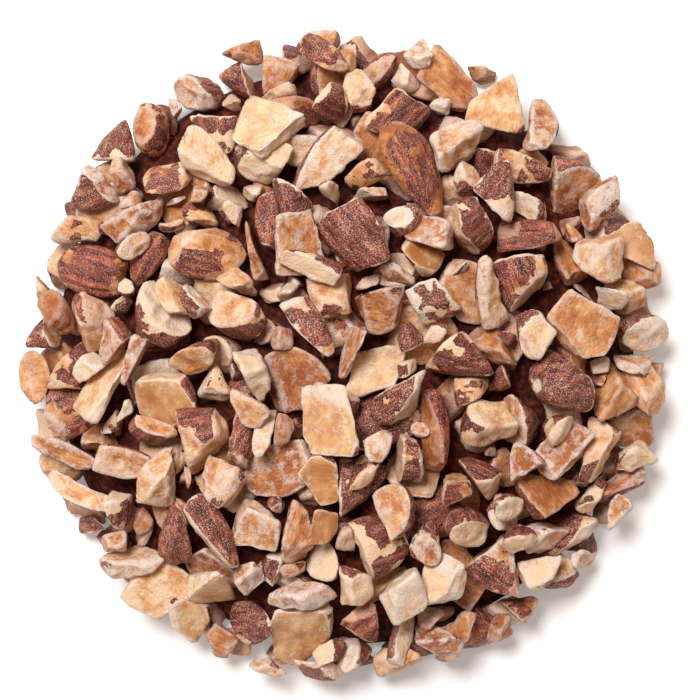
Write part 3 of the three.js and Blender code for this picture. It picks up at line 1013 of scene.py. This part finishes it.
    # Sugar catches on the ridges of the skin, in drifts
    sugar = add(tree, "TexNoise", {
        "Vector": grain, "Scale": 1 / SUGAR, "Detail": 3, "Roughness": 0.7,
    })
    sugar = add(tree, "Math", [ridges, 0.2, sugar], operation="MULTIPLY_ADD")
    sugar = add(tree, "MapRange", [sugar, 0.61, 0.69], interpolation_type="SMOOTHSTEP")
    drift = add(tree, "TexNoise", {
        "Vector": grain, "Scale": 1 / DRIFT, "Detail": 4, "Roughness": 0.6,
    })
    drift = add(tree, "MapRange", [drift, 0.36, 0.58, 0.4, 1], interpolation_type="SMOOTHSTEP")
    sugar = add(tree, "Math", [sugar, drift], operation="MULTIPLY")
    strewn = add(tree, "Math", [dust, 0.35, 0.46], operation="MULTIPLY_ADD")
    sugar = add(tree, "Math", [sugar, strewn], operation="MULTIPLY")
    papery = add(tree, "Mix", [sugar, papery, linear("#f2cfba")], data_type="RGBA")

    # The skin is chipped along its edges and has come away in patches
    bite = add(tree, "TexNoise", {"Vector": grain, "Scale": 1 / BITE, "Detail": 4})
    bite = add(tree, "Math", [cover, 0.2, bite], operation="MULTIPLY_ADD")
    bite = add(tree, "MapRange", [bite, 0.62, 0.9, 0, 8], interpolation_type="SMOOTHSTEP")
    chipped = add(tree, "MapRange", [worn, 0.43, 0.93, 0.05, 0.7])
    bite = add(tree, "Math", [bite, chipped], operation="ADD")
    kept = add(tree, "Math", [skin, bite], operation="SUBTRACT")
    kept = add(tree, "MapRange", [kept, 0, 0.14], interpolation_type="SMOOTHSTEP")
    colour = add(tree, "Mix", [kept, flesh, papery], data_type="RGBA")

    # Painted shade: the deeper a point lies under the heap's surface, the more its colour is
    # multiplied by a dark red-brown, standing in for the shade between the pieces
    dark = add(tree, "MapRange", [deep, 2.8, 9.5, 0, 0.66], interpolation_type="SMOOTHSTEP")
    colour = add(
        tree, "Mix", [dark, colour, linear("#94381a")], data_type="RGBA", blend_type="MULTIPLY"
    )

    # Wrinkles of the skin, crumbled breaks, and a step down where the skin ends
    wrinkled = add(tree, "Math", [ridges, 3, grit], operation="MULTIPLY_ADD")
    broken = add(tree, "Math", [worn, 1.8, grit], operation="MULTIPLY_ADD")
    broken = add(tree, "Math", [fibres, 0.5, broken], operation="MULTIPLY_ADD")
    glazed = add(tree, "Math", [fibres, 0.7, 0.8], operation="MULTIPLY_ADD")
    broken = add(tree, "Mix", [waxy, broken, glazed])
    height = add(tree, "Mix", [kept, broken, wrinkled])
    height = add(tree, "Math", [kept, 0.8, height], operation="MULTIPLY_ADD")
    bump = add(tree, "Bump", {"Strength": 0.9, "Distance": BREAK_DEPTH * MM, "Height": height})
    shader = add(tree, "BsdfPrincipled", {
        "Base Color": colour,
        "Roughness": add(tree, "Mix", [waxy, 0.6, 0.42]),
        "Normal": bump,
        "IOR": 1.47,
        "Subsurface Weight": 0.12,
        "Subsurface Radius": (1.0, 0.5, 0.25),
        "Subsurface Scale": LIGHT_DEPTH * MM,
    })
    add(tree, "OutputMaterial", {"Surface": shader})
    return material


def crumb_with_painted_shade():
    """Fine crumbs of skin and hard toffee at the bottom of the heap, dull and lumpy. Their
    near-black brown is partly their own colour and partly painted shade at the bottom of the gaps
    between pieces.
    """
    material, tree = blank_material("crumb_with_painted_shade")
    grain = add(tree, "Attribute", give="Vector", attribute_name="grain")
    lumps = add(tree, "TexNoise", {"Vector": grain, "Scale": 1 / CRUMBLE, "Detail": 4})
    # Painted shade: the ramp runs only through near-black browns, so the bed reads as the shade at
    # the bottom of the gaps
    colour = add(tree, "ValToRGB", [lumps], stops=(
        (0.35, "#270805"), (0.5, "#46150b"), (0.65, "#662a18"),
    ))
    bump = add(tree, "Bump", {"Strength": 0.8, "Distance": LUMP_DEPTH * MM, "Height": lumps})
    shader = add(tree, "BsdfPrincipled", {
        "Base Color": colour,
        "Roughness": 0.8,
        "Specular IOR Level": 0.2,
        "Normal": bump,
    })
    add(tree, "OutputMaterial", {"Surface": shader})
    return material


almond = toasted_almond()
for kind, name in NAMES.items():
    parts = [shape_of(p, steps_for(p, area)) for p, area in zip(heap, areas) if p["kind"] == kind]
    mesh_object(name, parts, almond)
mesh_object("crumb_bed", [crumb_bed()], crumb_with_painted_shade())

# --- The surface it lies on, the light and the camera ---

# The floor's half width, and how far it is under the heap, in metres
FLOOR_HALF = 3
FLOOR_GAP = 0.0002

# A disk of light: its place, its width across in metres, and its power in watts
SOFTBOX = {"place": (-0.2, 0.28, 0.7), "across": 0.3, "power": 6.6}

# The camera's lens and sensor, the width that it sees at a height in the heap, and the point that
# it looks down on, in millimetres
LENS = 100
SENSOR = 36
FIELD = 121.8
FIELD_HEIGHT = 8
AIM = (1.0, 1.1)


def white_card():
    """Matt white card. A faint glow keeps it white and the shadows on it pale."""
    material, tree = blank_material("white_card")
    shader = add(tree, "BsdfPrincipled", {
        "Base Color": linear("#f4f4f4"),
        "Roughness": 0.8,
        "Emission Color": linear("#ffffff"),
        "Emission Strength": 0.2,
    })
    add(tree, "OutputMaterial", {"Surface": shader})
    return material


def pale_floor():
    """One wide sheet of card just under the heap."""
    mesh = bpy.data.meshes.new("floor")
    corners = np.array(((-1, -1, 0), (1, -1, 0), (1, 1, 0), (-1, 1, 0))) * FLOOR_HALF
    mesh.from_pydata(corners - (0, 0, FLOOR_GAP), (), [(0, 1, 2, 3)])
    mesh.materials.append(white_card())
    floor = bpy.data.objects.new("floor", mesh)
    bpy.context.scene.collection.objects.link(floor)


def softbox():
    """The main light, high over the far left of the heap and turned to its middle."""
    light = bpy.data.lights.new("softbox", "AREA")
    light.shape = "DISK"
    light.size = SOFTBOX["across"]
    light.energy = SOFTBOX["power"]
    lamp = bpy.data.objects.new("softbox", light)
    lamp.location = SOFTBOX["place"]
    lamp.rotation_mode = "QUATERNION"
    lamp.rotation_quaternion = (-lamp.location).to_track_quat("-Z", "Y")
    bpy.context.scene.collection.objects.link(lamp)


def overhead_camera():
    """A long lens straight above the heap."""
    optics = bpy.data.cameras.new("camera")
    optics.lens = LENS
    optics.sensor_width = SENSOR
    camera = bpy.data.objects.new("camera", optics)
    height = FIELD * LENS / SENSOR + FIELD_HEIGHT
    camera.location = (AIM[0] * MM, AIM[1] * MM, height * MM)
    bpy.context.scene.collection.objects.link(camera)
    bpy.context.scene.camera = camera


def white_room():
    """Light from all round: pale walls low down, and a dimmer, warmer ceiling."""
    world = bpy.data.worlds.new("white_room")
    world.use_nodes = True
    tree = world.node_tree
    tree.nodes.clear()
    way = add(tree, "TexCoord", give="Generated")
    up = add(tree, "SeparateXYZ", [way], give="Z")
    light = add(tree, "ValToRGB", [up], stops=((0.02, "#f4efea"), (0.3, "#948377")))
    room = add(tree, "Background", {"Color": light})
    add(tree, "OutputWorld", {"Surface": room})
    bpy.context.scene.world = world


pale_floor()
softbox()
white_room()
bpy.context.scene.view_settings.view_transform = "Standard"
overhead_camera()
